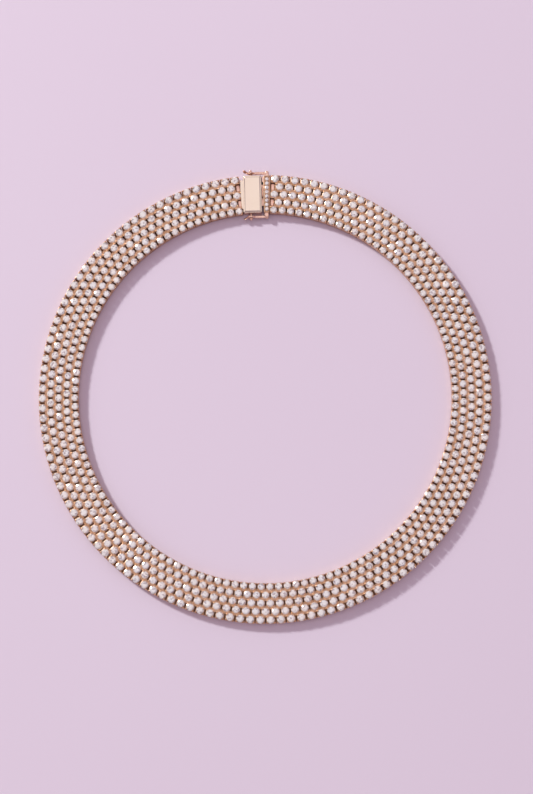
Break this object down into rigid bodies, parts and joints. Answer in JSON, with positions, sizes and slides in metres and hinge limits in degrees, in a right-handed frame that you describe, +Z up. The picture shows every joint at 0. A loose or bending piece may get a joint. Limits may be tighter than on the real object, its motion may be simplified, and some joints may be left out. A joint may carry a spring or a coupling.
{
  "type": "choker necklace",
  "caption": "Flat flexible collar of staggered rows of round stones in square rose gold collets, closed by a box clasp with a plain cover, a stone-set bar and swinging safety catches.",
  "frame": {"origin": "under the middle of the whole outline, on the surface that the necklace lies on", "axes": "+Z up out of the stones' tables, +Y towards the clasp, +X to the tongue side of the clasp"},
  "size_m": [0.1418, 0.1439, 0.0033],
  "materials": {
    "rose_gold_setting": "polished 18 karat rose gold, prongs and open links",
    "rose_gold_polished": "polished 18 karat rose gold",
    "rose_gold_cover": "mirror-polished rose gold cover plate",
    "clear_stone": "round brilliant cut, clear, near white"
  },
  "bodies": {
    "necklace": {"stone_row_1_outer": "rose_gold_setting", "stone_row_2": "rose_gold_setting", "stone_row_3_middle": "rose_gold_setting", "stone_row_4": "rose_gold_setting", "stone_row_5_inner": "rose_gold_setting", "blank_link_row_2_box_side": "rose_gold_polished", "blank_link_row_2_tongue_side": "rose_gold_polished", "blank_link_row_4_box_side": "rose_gold_polished", "blank_link_row_4_tongue_side": "rose_gold_polished", "clasp_box": "rose_gold_cover", "clasp_tongue": "rose_gold_polished", "stone_bar": "rose_gold_setting"},
    "inner_catch": {"safety_catch_inner": "rose_gold_polished"},
    "outer_catch": {"safety_catch_outer": "rose_gold_polished"}
  },
  "joints": [
    {"name": "inner_catch_hinge", "type": "hinge", "parent": "necklace", "child": "inner_catch", "pos_m": [0.00322, 0.05639, 0.00145], "axis": [0, 0, 1], "range_deg": [0, 110]},
    {"name": "outer_catch_hinge", "type": "hinge", "parent": "necklace", "child": "outer_catch", "pos_m": [0.0039, 0.07067, 0.00145], "axis": [0, 0, -1], "range_deg": [0, 110]}
  ]
}
